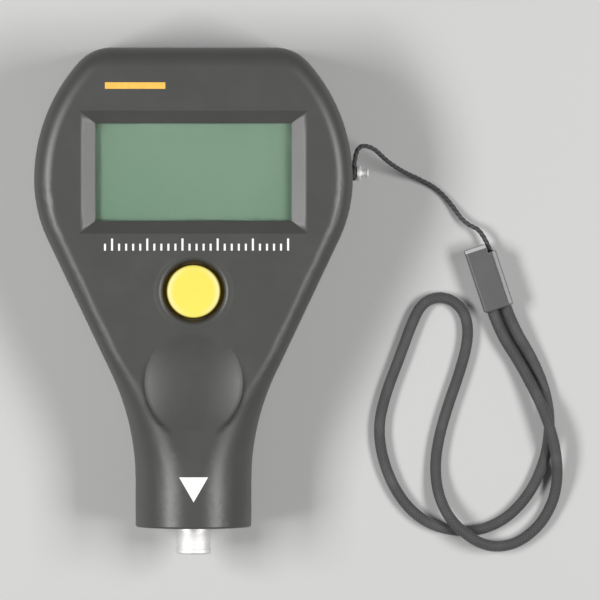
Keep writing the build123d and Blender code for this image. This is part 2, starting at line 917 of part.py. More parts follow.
def socket_contacts():
    """Tubular contacts, open towards the mouth and with solder ends behind."""
    front = socket_reach - socket_bore_depth - contact_sink
    back = socket_reach - socket_length - solder_length
    contact = Pos(0, 0, (front + back) / 2) * Cylinder(insert_contact_radius, front - back)
    contact -= Pos(0, 0, front) * Cylinder(insert_contact_radius / 2, 2 * contact_bore_depth)
    contacts = Part() + [place * contact for place in contact_places()]
    return socket_place() * contacts


def ring_on_socket(outer, z0, z1):
    """Flat ring round the barrel, behind the end wall."""
    ring = Cylinder(outer, z1 - z0) - Cylinder(socket_radius, far)
    return socket_place() * Pos(0, 0, (z0 + z1) / 2) * ring


def socket_washer():
    """Washer against the inside of the end wall."""
    return ring_on_socket(washer_radius, -end_wall - washer_thickness, -end_wall)


def socket_nut():
    """Hexagon nut on the barrel."""
    top = -end_wall - washer_thickness
    nut = extrude(RegularPolygon(nut_radius, 6), nut_thickness) - Cylinder(socket_radius, far)
    return socket_place() * Pos(0, 0, top - nut_thickness) * nut


def plug_low_y():
    """End of the board plug that the cable enters."""
    return board_low_y + plug_inset


def socket_cable():
    """Cable from the back of the socket to its plug on the board."""
    start = handle_end_y - socket_reach + socket_length + solder_length
    end = plug_low_y()
    straight = 4 * cable_radius
    points = [
        (0, start, parting_z), (0, start + straight, parting_z),
        (cable_radius, (start + end) / 2, parting_z), (0, end - straight, parting_z),
        (0, end, parting_z),
    ]
    return route_tube(points, 2 * cable_radius, "socket cable")


def cable_plug():
    """Plug under the board that takes the socket's cable."""
    low_y = plug_low_y()
    half = plug_width / 2
    return box(-half, half, low_y, low_y + plug_length, parting_z - plug_drop, board_low_z)


def strap_post():
    """Plated post: shank in the casing, bare neck for the string, flange and tip."""
    side = half_width(post_y)
    neck = neck_length
    flange = neck + post_flange_thickness
    tip = flange + post_tip_length
    waist = post_tip_radius - post_tip_waist
    bead = tip - post_bead_length
    profile = [
        (0, -wall - post_shank_length), (post_shank_radius, -wall - post_shank_length),
        (post_shank_radius, 0.0), (neck_core_radius, 0.0), (neck_core_radius, neck),
        (post_flange_radius, neck), (post_flange_radius, flange - post_flange_chamfer),
        (post_flange_radius - post_flange_chamfer, flange), (waist, flange),
        (waist, bead - post_tip_waist), (post_tip_radius, bead),
        (post_tip_radius, tip - post_bead_chamfer), (post_tip_radius - post_bead_chamfer, tip),
        (0, tip),
    ]
    return turned(profile, Pos(side, post_y, post_z) * Rot(0, 90, 0))


def strap_hitch():
    """Turn of the string round the neck of the post."""
    side = half_width(post_y)
    string = string_diameter / 2 - string_squeeze
    ring = Torus(neck_core_radius + string, string)
    return Pos(side + neck_length / 2, post_y, post_z) * Rot(0, 90, 0) * ring


def slider_place():
    """Place of the strap slider: its length along local Y, towards the string."""
    return Pos(slider_x, slider_y, 0) * Rot(0, 0, slider_lean)


def strap_slider():
    """Clamp with a stepped end for the string, a groove along it and two holes for the cord."""
    half = slider_length / 2
    depth = slider_hole_depth
    middle = slider_height / 2
    step_x = slider_width / 2 - slider_notch_width
    step_y = half - slider_notch_depth
    block = Pos(0, 0, middle) * Box(slider_width, slider_length, slider_height)
    block -= box(step_x, far, step_y, far, -past, far)
    outer_edges = [
        edge
        for edge in block.edges()
        if abs(edge.center().X - step_x) + abs(edge.center().Y - step_y) > slider_edge / 2
    ]
    block = fillet(outer_edges, slider_edge)
    groove = slider_groove_width / 2
    block -= box(
        slider_groove_x - groove, slider_groove_x + groove, -far, far,
        slider_height - slider_groove_depth, far,
    )
    side, top = slider_width / 2, slider_height
    wedge = Polyline(
        (side - slider_bevel_width, top), (side + slider_bevel_width, top),
        (side + slider_bevel_width, top - 2 * slider_bevel_drop), close=True,
    )
    block -= extrude(Plane.XZ * make_face(wedge), far, both=True)
    string_hole = string_diameter / 2 + slider_hole_clearance
    cord_hole = cord_diameter / 2 + slider_hole_clearance
    block -= rod_along_y(slider_string_x, middle, step_y - depth, step_y + past, string_hole)
    for side in (-1, 1):
        block -= rod_along_y(side * cord_spread, middle, -half - past, -half + depth, cord_hole)
    return slider_place() * block


nodes = {
    "front_cover": front_cover(),
    "rear_cover": rear_cover(),
    "battery_door": battery_door(),
    "display_window": display_window(),
    "lcd_panel": lcd_panel(),
    "lcd_frame": lcd_frame(),
    "lcd_strip_upper": lcd_strip(1),
    "lcd_strip_lower": lcd_strip(-1),
    "circuit_board": circuit_board(),
    "processor_chip": processor_chip(),
    "amplifier_chip": amplifier_chip(),
    "timing_crystal": timing_crystal(),
    "board_capacitors": board_capacitors(),
    "measure_button": measure_button(),
    "switch_plunger": switch_plunger(),
    "switch_body": switch_body(),
    "switch_dome": switch_dome(),
    "contact_springs": contact_springs(),
    "contact_plates": contact_plates(),
    "battery_leads": battery_leads(),
    "housing_screws": housing_screws(),
    "board_screws": board_screws(),
    "socket_shell": socket_shell(),
    "socket_insert": socket_insert(),
    "socket_contacts": socket_contacts(),
    "socket_washer": socket_washer(),
    "socket_nut": socket_nut(),
    "socket_cable": socket_cable(),
    "cable_plug": cable_plug(),
    "strap_post": strap_post(),
    "strap_hitch": strap_hitch(),
    "strap_slider": strap_slider(),
    "strap_string": route_tube(string_route, string_diameter, "strap string"),
    "strap_cord": route_tube(cord_route, cord_diameter, "strap cord"),
}
for number, (x, way) in enumerate(cell_places(), 1):
    nodes[f"battery_cell_{number}"] = battery_cell(x, way)

os.makedirs("parts", exist_ok=True)
for name, shape in nodes.items():
    export_step(shape, f"parts/{name}.step")
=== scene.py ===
"""Dressed model of a handheld gloss meter that lies on its back, with its wrist strap.

Metres. +X is to the right of someone who reads the display, +Y runs from the handle to the
display end, and +Z comes out of the front face. Each new surface is worked out with numpy
as a function of two parameters on a grid, or as a profile carried along a path.
"""

import json
import math

import bpy
import numpy as np
from mathutils import Matrix, Vector


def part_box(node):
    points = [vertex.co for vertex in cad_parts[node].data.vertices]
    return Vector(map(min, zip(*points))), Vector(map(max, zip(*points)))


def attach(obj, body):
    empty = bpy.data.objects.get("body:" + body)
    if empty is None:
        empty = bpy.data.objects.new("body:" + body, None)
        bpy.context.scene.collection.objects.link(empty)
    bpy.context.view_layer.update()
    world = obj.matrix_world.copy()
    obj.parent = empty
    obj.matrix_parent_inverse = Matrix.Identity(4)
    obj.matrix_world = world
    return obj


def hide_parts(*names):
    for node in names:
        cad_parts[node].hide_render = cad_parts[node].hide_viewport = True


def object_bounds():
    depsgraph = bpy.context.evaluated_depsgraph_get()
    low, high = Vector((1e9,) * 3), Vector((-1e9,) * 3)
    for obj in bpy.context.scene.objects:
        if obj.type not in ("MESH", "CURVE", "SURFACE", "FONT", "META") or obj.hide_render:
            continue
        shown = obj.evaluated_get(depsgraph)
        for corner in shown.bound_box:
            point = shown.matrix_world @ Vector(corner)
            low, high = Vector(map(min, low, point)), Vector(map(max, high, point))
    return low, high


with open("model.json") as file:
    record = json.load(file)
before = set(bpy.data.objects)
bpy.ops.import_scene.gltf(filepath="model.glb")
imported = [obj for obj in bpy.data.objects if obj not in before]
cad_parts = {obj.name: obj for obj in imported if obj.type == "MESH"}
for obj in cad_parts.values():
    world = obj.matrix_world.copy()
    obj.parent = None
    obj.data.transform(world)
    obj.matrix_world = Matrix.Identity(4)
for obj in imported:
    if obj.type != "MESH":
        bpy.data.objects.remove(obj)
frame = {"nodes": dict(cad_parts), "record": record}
cad_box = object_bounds()

MM = 0.001
TAU = 2 * math.pi

# Places on the casing
casing_top = 29.0 * MM
button_y = 2.65 * MM
post_y = 31.9 * MM
post_z = 11.0 * MM

# Oval of the thumb scoop
scoop_y = -20.3 * MM
scoop_half_width = 12.3 * MM
scoop_half_length = 13.6 * MM

# Strap
string_diameter = 1.2 * MM
cord_diameter = 2.8 * MM
twist_relief = 0.12 * MM
braid_relief = 0.13 * MM
spline_steps = 40
strand_angle = 60

# Centre line of the string between the post and the strap slider, as placed one by one
string_route = [
    (40.32, 33.92, 11.0), (40.5, 36.5, 11.0), (41.9, 39.0, 10.5), (45.2, 38.3, 8.9),
    (48.6, 34.9, 6.4), (52.6, 32.3, 3.6), (57.0, 30.3, 1.2), (61.2, 28.1, 0.65),
    (64.8, 24.3, 0.9), (68.2, 19.2, 1.9), (73.169, 17.238, 3.0), (75.789, 9.363, 3.0),
]

# Centre line of the wrist cord, out of the slider, round twice and back, as placed one by one
cord_route = [
    (74.265, 0.003, 3.0), (76.901, -7.92, 3.0), (82.1, -15.8, 2.4), (86.2, -23.6, 3.7),
    (88.9, -29.6, 4.65), (91.1, -37.2, 4.65), (91.8, -44.6, 2.9), (90.6, -51.3, 1.5),
    (87.0, -57.3, 1.45), (81.6, -61.4, 1.6), (76.0, -62.4, 2.6), (70.9, -60.8, 4.6),
    (64.9, -55.9, 4.6), (61.7, -49.6, 2.8), (60.8, -42.6, 1.5), (61.6, -35.6, 1.45),
    (63.9, -27.2, 1.45), (67.0, -18.6, 1.45), (69.2, -10.4, 1.45), (68.9, -4.4, 1.45),
    (66.1, -0.5, 1.45), (61.8, 0.9, 1.45), (57.5, -0.9, 1.45), (54.9, -6.2, 1.45),
    (51.9, -14.6, 1.45), (48.3, -24.0, 1.45), (46.5, -32.2, 1.45), (47.7, -40.6, 1.45),
    (51.2, -48.8, 1.45), (56.5, -54.9, 1.45), (63.0, -57.9, 1.45), (71.2, -58.5, 1.45),
    (78.6, -55.5, 1.45), (84.6, -49.2, 1.45), (88.5, -41.0, 1.45), (89.95, -32.3, 1.45),
    (88.9, -23.6, 1.45), (85.5, -14.9, 1.6), (80.19, -6.405, 3.0), (77.681, 1.139, 3.0),
]

# Slider: a bar whose length runs from the wrist cord to the string
slider_place = (74.3 * MM, 5.6 * MM)
slider_lean = math.radians(18.4)
slider_half_length = 8.25 * MM
slider_half_width = 3.8 * MM
slider_height = 6.0 * MM
slider_edge = 0.6 * MM
slider_step_x = 1.65 * MM
slider_step_y = 6.05 * MM
slider_groove = (2.15 * MM, 2.2 * MM, 2.7 * MM, 2.75 * MM)
slider_groove_depth = 0.2 * MM
slider_bevel = 0.85 * MM
slider_bevel_drop = 0.34 * MM
slider_facet = (0.2 * MM, 1.1 * MM)

# Print on the front, in millimetres: two opposite corners, or a row's ends, foot and tops
stripe_corners = (-22.0, 53.0, -7.0, 54.6)
mark_row = (-22.0, 23.5)
mark_count = 27
mark_foot = 12.8
mark_half_width = 0.25
mark_heights = (1.7, 3.0)
triangle_corners = [(-3.6, -43.6), (-0.02, -49.8), (0.02, -49.8), (3.6, -43.6)]

# Camera of the photograph: straight above a point beside the display, a long way up
camera_place = (-4.3 * MM, 46.4 * MM, 2200.0 * MM)
camera_target = (26.8 * MM, 0.0, 5.0 * MM)
picture_fill = 0.88

# Studio, in metres, degrees and watts
floor_half_width = 3.0
lamp_distance = 0.85
lamp_lean = 42
lamp_size = (0.22, 0.45)
lamp_target = (0.01, 0.0, 0.01)
lamps = (("softbox_left", -1, 6.6), ("softbox_right", 1, 5.6))
fill_strength = 0.12

record = frame["record"]
node_body = {n: body for body, nodes in record["behaviour"]["bodies"].items() for n in nodes}
node_slot = {part["node"]: part["material_slot"] for part in record["subparts"]}


# Shader building

def feed(socket, value):
    """Links a value that is another node's output, or sets a plain one, opaque if a colour."""
    if isinstance(value, bpy.types.NodeSocket):
        socket.id_data.links.new(value, socket)
    elif socket.type == "RGBA":
        socket.default_value = (*value, 1.0)
    else:
        socket.default_value = value


def feed_all(sockets, **values):
    """Feeds several sockets by their names, with _ for a space."""
    for name, value in values.items():
        feed(sockets[name.replace("_", " ")], value)


def add(tree, kind, inputs=None, **settings):
    """New shader node with its settings, and its inputs by socket name or number."""
    made = tree.nodes.new("ShaderNode" + kind)
    for name, value in settings.items():
        setattr(made, name, value)
    for key, value in (inputs or {}).items():
        feed(made.inputs[key], value)
    return made


def tree_of(*values):
    """Node tree of the first socket among some values."""
    return next(v for v in values if isinstance(v, bpy.types.NodeSocket)).id_data


def calc(operation, *values):
    """Output of a Math node on one to three values, some of them sockets."""
    inputs = dict(enumerate(values))
    return add(tree_of(*values), "Math", inputs, operation=operation).outputs[0]


def product(first, *others):
    """Values multiplied together."""
    for other in others:
        first = calc("MULTIPLY", first, other)
    return first


def total(first, second):
    """Sum of two values."""
    return calc("ADD", first, second)


def minus(first, second):
    """Difference of two values."""
    return calc("SUBTRACT", first, second)


def hypotenuse(x, y):
    """Root of x^2 + y^2."""
    return calc("SQRT", total(product(x, x), product(y, y)))


def remap(value, low, high, to_low=0.0, to_high=1.0):
    """Value carried from one range to another and held inside it."""
    numbers = dict(enumerate((value, low, high, to_low, to_high)))
    return add(value.id_data, "MapRange", numbers).outputs["Result"]


def mix(factor, a, b, kind="MIX"):
    """Colour between two others."""
    tree, inputs = tree_of(factor, a, b), {0: factor, 6: a, 7: b}
    return add(tree, "Mix", inputs, data_type="RGBA", blend_type=kind).outputs[2]


def scaled(colour, shade):
    """Colour times a shade that changes over the surface."""
    parts = add(shade.id_data, "CombineColor", dict.fromkeys(range(3), shade)).outputs[0]
    return mix(1.0, colour, parts, "MULTIPLY")


def noise(place, scale, detail):
    """Value of a noise texture, about 0.5."""
    inputs = {"Vector": place, "Scale": scale, "Detail": detail}
    return add(place.id_data, "TexNoise", inputs).outputs["Fac"]


def xyz(vector):
    """A vector's parts, by name."""
    return add(vector.id_data, "SeparateXYZ", {"Vector": vector}).outputs


def coordinates(tree, kind="Object"):
    """Place in the model's own frame, or on the UV map: metres along a piece, turns round it."""
    return add(tree, "TexCoord").outputs[kind]


def new_group(name, numbers, *outputs):
    """Shader group with a vector and numbers for inputs; gives its tree, inputs and outputs.

    Of the outputs, a normal is a vector and the others are numbers.
    """
    tree = bpy.data.node_groups.new(name, "ShaderNodeTree")
    new_socket = tree.interface.new_socket
    new_socket(name="Vector", in_out="INPUT", socket_type="NodeSocketVector")
    for number, value in numbers.items():
        made = new_socket(name=number, in_out="INPUT", socket_type="NodeSocketFloat")
        made.default_value = value
    for output in outputs:
        kind = "Vector" if output == "Normal" else "Float"
        new_socket(name=output, in_out="OUTPUT", socket_type="NodeSocket" + kind)
    start = tree.nodes.new("NodeGroupInput").outputs
    end = tree.nodes.new("NodeGroupOutput").inputs
    return tree, start, end


def use_group(group, place, **inputs):
    """A group put in a material, for a place; gives its outputs."""
    made = place.id_data.nodes.new("ShaderNodeGroup")
    made.node_tree = group
    feed_all(made.inputs, Vector=place, **inputs)
    return made.outputs


def grain_group():
    """Spark-eroded mould grain: fine noise over rounded cells, and a slow change of shade.

    Height = 0.6 noise + 0.4 cell distance; Shade runs about 1 with slow noise.
    """
    numbers = {"Scale": 3000.0, "Mottle": 0.1}
    tree, start, end = new_group("moulded_grain", numbers, "Height", "Shade")
    place, scale = start["Vector"], start["Scale"]
    fine = product(noise(place, scale, 2.0), 0.6)
    cells = add(tree, "TexVoronoi", {"Vector": place, "Scale": scale}).outputs["Distance"]
    slow = minus(noise(place, 70.0, 4.0), 0.5)
    height = total(fine, product(cells, 0.4))
    shade = total(product(slow, start["Mottle"]), 1.0)
    feed_all(end, Height=height, Shade=shade)
    return tree


def dust_group():
    """Settled dust: a thin uneven film and scattered specks, on faces that look up.

    Mask = amount x upward share x (film noise + specks where a cell's distance is small).
    """
    tree, start, end = new_group("settled_dust", {"Amount": 0.1, "Speck Scale": 900.0}, "Mask")
    place = start["Vector"]
    film = remap(noise(place, 160.0, 6.0), 0.45, 0.75, 0.0, 0.35)
    cells = add(tree, "TexVoronoi", {"Vector": place, "Scale": start["Speck Scale"]}).outputs
    small = remap(cells["Distance"], 0.06, 0.12, 1.0, 0.0)
    chosen = add(tree, "SeparateColor", {"Color": cells["Color"]}).outputs[0]
    specks = product(small, calc("GREATER_THAN", chosen, 0.93))
    normal = add(tree, "NewGeometry").outputs["Normal"]
    upward = remap(xyz(normal)["Z"], 0.2, 0.9)
    feed_all(end, Mask=product(total(film, specks), upward, start["Amount"]))
    return tree


def wear_group():
    """Handled edges: where the rounded normal leaves the true one, broken up by noise.

    Mask = amount x noise x a share that is 0 where the dot product of the rounded and the true
    normal is above 0.995 and 1 where it is below 0.8.
    """
    tree, start, end = new_group("edge_wear", {"Radius": 0.0004, "Amount": 0.3}, "Mask", "Normal")
    rounded = add(tree, "Bevel", {"Radius": start["Radius"]}, samples=4).outputs["Normal"]
    true_normal = add(tree, "NewGeometry").outputs["Normal"]
    dot = add(tree, "VectorMath", {0: rounded, 1: true_normal}, operation="DOT_PRODUCT")
    edge = remap(dot.outputs["Value"], 0.995, 0.8)
    broken = remap(noise(start["Vector"], 420.0, 5.0), 0.4, 0.7)
    feed_all(end, Mask=product(edge, broken, start["Amount"]), Normal=rounded)
    return tree


def yarn_group():
    """Filaments along the slanted strands of a braid, from the UV map of a cord.

    Height = two slanted sets of fine ripples + slow noise; Shade = the slow noise about 1.
    """
    numbers = {"Ripples": 5200.0, "Slant": 22.0}
    tree, start, end = new_group("yarn_filaments", numbers, "Height", "Shade")
    place = xyz(start["Vector"])
    along = product(place["X"], start["Ripples"])
    round_it = product(place["Y"], product(start["Slant"], TAU))
    first = calc("SINE", total(along, round_it))
    second = calc("SINE", minus(along, round_it))
    ripples = total(product(first, 0.25), product(second, 0.25))
    slow = noise(start["Vector"], 300.0, 4.0)
    shade = remap(slow, 0.3, 0.7, 0.86, 1.14)
    feed_all(end, Height=total(ripples, slow), Shade=shade)
    return tree


def plating_group():
    """Plated metal: faint lines of turning and slow clouding.

    Height = noise stretched round the piece; Rough = slow noise about a middle value.
    """
    numbers = {"Line Scale": 2500.0, "Rough": 0.2}
    tree, start, end = new_group("turned_plating", numbers, "Height", "Rough")
    lines = noise(start["Vector"], start["Line Scale"], 1.0)
    factor = remap(noise(start["Vector"], 260.0, 3.0), 0.3, 0.7, 0.75, 1.3)
    feed_all(end, Height=lines, Rough=product(start["Rough"], factor))
    return tree


grain = grain_group()
dust = dust_group()
wear = wear_group()
yarn = yarn_group()
plating = plating_group()


def new_material(name):
    """Empty material: its tree and its Principled shader, joined to the output."""
    material = bpy.data.materials.new(name)
    material.use_nodes = True
    tree = material.node_tree
    tree.nodes.clear()
    shader = add(tree, "BsdfPrincipled")
    add(tree, "OutputMaterial", {"Surface": shader.outputs[0]})
    return material, tree, shader


def dress(shader, height, depth, bump=None, **values):
    """Gives a shader its values by name, and the relief of a height, of a depth in mm."""
    inputs = {"Height": height, "Distance": depth * MM, **(bump or {})}
    normal = add(shader.id_data, "Bump", inputs).outputs["Normal"]
    feed_all(shader.inputs, Normal=normal, **values)


def grained(shader, place, scale, relief, base, **values):
    """Gives a shader a base colour under fine grain, its relief in mm, and other values."""
    skin = use_group(grain, place, Scale=scale, Mottle=0.2)
    base = scaled(base, skin["Shade"])
    dress(shader, skin["Height"], relief, Base_Color=base, **values)


def moulded(name, colour, roughness, grain_scale, relief, dust_amount=0.0, worn=0.1,
            low_colour=None, low_from=0.0, low_to=0.0):
    """Moulded plastic: mould grain, slow mottle, worn edges and a little dust.

    With a low colour, it turns to that one below a height, evenly between two heights.
    """
    material, tree, shader = new_material(name)
    place = coordinates(tree)
    skin = use_group(grain, place, Scale=grain_scale, Mottle=0.16)
    edge = use_group(wear, place, Radius=0.2 * MM, Amount=worn)
    settled = use_group(dust, place, Amount=dust_amount)
    tint = colour
    if low_colour:
        high_share = remap(xyz(place)["Z"], low_from, low_to)
        tint = mix(high_share, low_colour, colour)
    base = scaled(tint, skin["Shade"])
    lighter = tuple(min(1.0, c * 1.7 + 0.03) for c in colour)
    base = mix(edge["Mask"], base, lighter)
    base = mix(settled["Mask"], base, (0.42, 0.41, 0.39))
    rough = product(skin["Shade"], roughness)
    rough = minus(rough, product(edge["Mask"], 0.12))
    rough = total(rough, product(settled["Mask"], 0.3))
    bump = {"Normal": edge["Normal"], "Strength": 1.0}
    dress(shader, skin["Height"], relief, bump, Base_Color=base, Roughness=rough)
    return material


def metal(name, colour, roughness, relief=0.004, stretch=(1.0, 1.0, 1.0)):
    """Bright plated or drawn metal with clouding and faint lines, drawn out by a stretch."""
    material, tree, shader = new_material(name)
    place = coordinates(tree)
    drawn = add(tree, "VectorMath", {0: place, 1: stretch}, operation="MULTIPLY").outputs[0]
    finish = use_group(plating, drawn, Rough=roughness)
    edge = use_group(wear, place, Radius=0.12 * MM, Amount=0.5)
    dress(
        shader, finish["Height"], relief, {"Normal": edge["Normal"]},
        Base_Color=mix(edge["Mask"], colour, (0.95, 0.93, 0.9)),
        Roughness=finish["Rough"], Metallic=1.0,
    )
    return material


def over_base(material, mask, colour):
    """Lays a colour over a finished material where a mask is 1; gives its shader."""
    shader = next(node for node in material.node_tree.nodes if node.type == "BSDF_PRINCIPLED")
    socket = shader.inputs["Base Color"]
    feed(socket, mix(mask, socket.links[0].from_socket, colour))
    return shader


def casing_plastic():
    """Dark grey ABS of the casing, matt with a soft sheen, and painted shade along the scoop's
    sides.

    Painted shade line = where the root of (x / a)^2 + ((y - scoop) / b)^2 is about 1, on the
    front, and fading towards the top and the bottom of the scoop; it stands for the shadow of the
    scoop's low side step, and has less sheen there.
    """
    front_from, front_to = 16 * MM, 18 * MM
    material = moulded(
        "casing_plastic", (0.055, 0.055, 0.053), roughness=0.41, grain_scale=3600.0,
        relief=0.008, dust_amount=0.04,
    )
    place = xyz(coordinates(material.node_tree))
    x = calc("DIVIDE", place["X"], scoop_half_width)
    y = calc("DIVIDE", minus(place["Y"], scoop_y), scoop_half_length)
    off = calc("ABSOLUTE", minus(hypotenuse(x, y), 1.0))
    # painted shade: a dark line with less sheen along the scoop's sides, for the shadow of its
    # side step
    line = product(
        remap(off, 0.09, 0.0), remap(y, 0.5, -0.3),
        remap(calc("ABSOLUTE", x), 0.4, 0.75),
        remap(place["Z"], front_from, front_to),
    )
    shader = over_base(material, line, (0.018, 0.018, 0.018))
    feed_all(shader.inputs, Specular_IOR_Level=remap(line, 0.0, 1.0, 0.5, 0.2))
    return material


def button_plastic():
    """Bright yellow cap of the measure button, with painted shade where it goes down into its
    hole.

    The painted shade is heaviest on the sides that face the display and the scoop, where |x| is
    small.
    The top's rim, past a radius, has a painted highlight, most of all on the left and the right.
    """
    foot, painted_shade_to, low_to, top_from, top = 28.6 * MM, 29.3 * MM, 29.75 * MM, 29.5 * MM, 29.9 * MM
    middle_half_width, painted_shade_half_width = 3.4 * MM, 6.2 * MM
    rim_from, rim_full, side_from, side_full = 5.0 * MM, 5.8 * MM, 1.5 * MM, 5.2 * MM
    # painted shade: the cap turns dark olive below a height, where it goes down into its hole
    material = moulded(
        "button_plastic", (0.76, 0.66, 0.095), roughness=0.42, grain_scale=2600.0,
        relief=0.005, dust_amount=0.03, worn=0.05,
        low_colour=(0.40, 0.29, 0.028), low_from=foot, low_to=low_to,
    )
    place = xyz(coordinates(material.node_tree))
    aside = calc("ABSOLUTE", place["X"])
    # painted shade, deeper low down on the sides that face the display and the scoop
    low = remap(place["Z"], painted_shade_to, foot)
    middle = remap(aside, painted_shade_half_width, middle_half_width)
    over_base(material, product(low, middle), (0.058, 0.036, 0.002))
    # painted highlight: a pale band on the top's rim, strongest on the left and the right
    radius = hypotenuse(minus(place["Y"], button_y), aside)
    rim = product(
        remap(radius, rim_from, rim_full),
        remap(aside, side_from, side_full, 0.15, 1.0),
        remap(place["Z"], top_from, top),
    )
    over_base(material, rim, (0.77, 0.69, 0.27))
    return material


def slider_plastic():
    """Grey strap slider, with a painted highlight where the attribute of that name is above 0."""
    material = moulded(
        "slider_plastic", (0.10, 0.10, 0.10), roughness=0.36, grain_scale=3000.0,
        relief=0.010, dust_amount=0.06, worn=0.4,
    )
    # painted highlight: the bevels turn pale grey as far as the attribute says
    painted_highlight = add(material.node_tree, "Attribute", attribute_name="painted_highlight").outputs["Fac"]
    over_base(material, painted_highlight, (0.42, 0.42, 0.42))
    return material


def inner_plastic():
    """Black plastic of the display frame, the switch and the socket's insulator."""
    colour = (0.018, 0.018, 0.019)
    return moulded("inner_plastic", colour, roughness=0.5, grain_scale=2600.0, relief=0.010)


def plug_plastic():
    """Cream nylon of the cable's plug."""
    colour = (0.66, 0.62, 0.52)
    return moulded("plug_plastic", colour, roughness=0.45, grain_scale=2200.0, relief=0.008)


def chip_plastic():
    """Charcoal resin of the chips and capacitors."""
    colour = (0.03, 0.03, 0.032)
    return moulded("chip_plastic", colour, roughness=0.55, grain_scale=5200.0, relief=0.012)


def lead_sleeve():
    """Insulation of the leads and the socket's cable: red on the left, black on the right."""
    red_to_x = -5 * MM
    material, tree, shader = new_material("lead_sleeve")
    place = coordinates(tree)
    on_left = calc("LESS_THAN", xyz(place)["X"], red_to_x)
    base = mix(on_left, (0.02, 0.02, 0.02), (0.5, 0.02, 0.015))
    grained(shader, place, 1800.0, 0.006, base, Roughness=0.4)
    return material


def window_clear():
    """Clear acrylic of the display window; shadow rays pass it, so the glass behind is lit."""
    material, tree, shader = new_material("window_clear")
    smear = noise(coordinates(tree), 90.0, 3.0)
    feed_all(
        shader.inputs, Base_Color=(0.97, 0.985, 0.975), IOR=1.49, Transmission_Weight=1.0,
        Roughness=remap(smear, 0.35, 0.75, 0.015, 0.07),
    )
    surface = shader.outputs[0].links[0].to_socket
    clear = add(tree, "BsdfTransparent", {"Color": (0.95, 0.97, 0.96)})
    shadow = add(tree, "LightPath").outputs["Is Shadow Ray"]
    both = add(tree, "MixShader", {0: shadow, 1: shader.outputs[0], 2: clear.outputs[0]})
    feed(surface, both.outputs[0])
    return material


def display_glass():
    """Reflective liquid crystal glass: grey-green film with fine sparkle under a polariser.

    Below the film's height, the glass shows its plain edge.
    """
    film_from = 25.1 * MM
    material, tree, shader = new_material("display_glass")
    place = coordinates(tree)
    sparkle = noise(place, 5200.0, 1.0)
    cloud = noise(place, 34.0, 1.0)
    film = mix(cloud, (0.062, 0.106, 0.071), (0.075, 0.118, 0.082))
    film = scaled(film, remap(sparkle, 0.3, 0.7, 0.94, 1.06))
    on_top = calc("GREATER_THAN", xyz(place)["Z"], film_from)
    dress(
        shader, sparkle, 0.002, Base_Color=mix(on_top, (0.10, 0.16, 0.13), film),
        Roughness=remap(cloud, 0.3, 0.7, 0.34, 0.42), Coat_Weight=0.5, Coat_Roughness=0.08,
    )
    return material


def strip_rubber():
    """Connector strips: thin dark conducting layers between pale silicone ones."""
    layer_pitch = 0.36 * MM
    material, tree, shader = new_material("strip_rubber")
    place = coordinates(tree)
    layers = calc("SINE", product(xyz(place)["X"], TAU / layer_pitch))
    base = mix(remap(layers, 0.0, 0.4), (0.62, 0.46, 0.44), (0.03, 0.03, 0.03))
    grained(shader, place, 1500.0, 0.01, base, Roughness=0.6)
    return material


def board_mask():
    """Green solder mask with tracks under it and tinned pads, on both faces of the board."""
    material, tree, shader = new_material("board_mask")
    place = coordinates(tree)
    tracks = add(
        tree, "TexBrick",
        {"Vector": place, "Scale": 1.0, "Mortar Size": 0.12 * MM, "Brick Width": 9 * MM,
         "Row Height": 1.3 * MM, "Mortar Smooth": 0.2, "Bias": 0.0},
        offset=0.37, squash=1.6, squash_frequency=3,
    ).outputs["Fac"]
    cells = add(tree, "TexVoronoi", {"Vector": place, "Scale": 210.0, "Randomness": 0.35})
    pads = remap(cells.outputs["Distance"], 0.10, 0.12, 1.0, 0.0)
    base = mix(tracks, (0.012, 0.085, 0.030), (0.03, 0.19, 0.07))
    base = mix(pads, base, (0.72, 0.70, 0.66))
    skin = use_group(grain, place, Scale=1400.0, Mottle=0.25)
    dress(
        shader, total(tracks, pads), 0.035,
        Base_Color=scaled(base, skin["Shade"]), Metallic=product(pads, 0.9),
        Roughness=0.33,
    )
    return material


def cell_jacket():
    """Printed jacket of a cell: a grey field, a dark band and bare metal ends.

    The UV map gives the distance along the cell from its flat end.
    """
    band_from, line_at, line_half_width = 30 * MM, 29 * MM, 0.35 * MM
    jacket_from, jacket_to = 0.5 * MM, 42.8 * MM
    material, tree, shader = new_material("cell_jacket")
    along = xyz(coordinates(tree, "UV"))["X"]
    band = calc("GREATER_THAN", along, band_from)
    line = calc("COMPARE", along, line_at, line_half_width)
    ends = calc("LESS_THAN", along, jacket_from), calc("GREATER_THAN", along, jacket_to)
    bare = calc("MAXIMUM", *ends)
    base = mix(band, (0.30, 0.31, 0.32), (0.03, 0.034, 0.04))
    base = mix(line, base, (0.75, 0.74, 0.72))
    base = mix(bare, base, (0.68, 0.68, 0.66))
    grained(shader, coordinates(tree), 900.0, 0.006, base, Metallic=bare, Roughness=0.28)
    return material


def cord_fibre(name, colour, ripples, slant):
    """Matt synthetic fibre of a braid or twisted string, with fine filaments.

    The crown attribute is 1 on the strands' crowns and 0 in the valleys between them, which get
    painted shade.
    """
    material, tree, shader = new_material(name)
    threads = use_group(yarn, coordinates(tree, "UV"), Ripples=ripples, Slant=slant)
    settled = use_group(dust, coordinates(tree), Amount=0.3)
    crown = add(tree, "Attribute", attribute_name="crown").outputs["Fac"]
    # painted shade: the colour darkens towards the valleys between the strands
    painted_valley_shade = remap(crown, 0.3, 0.95, 0.45, 1.1)
    base = scaled(colour, product(threads["Shade"], painted_valley_shade))
    base = mix(settled["Mask"], base, (0.35, 0.34, 0.33))
    dress(
        shader, threads["Height"], 0.05, {"Strength": 0.8}, Base_Color=base,
        Roughness=0.72, Sheen_Weight=0.25, Sheen_Roughness=0.4,
    )
    return material


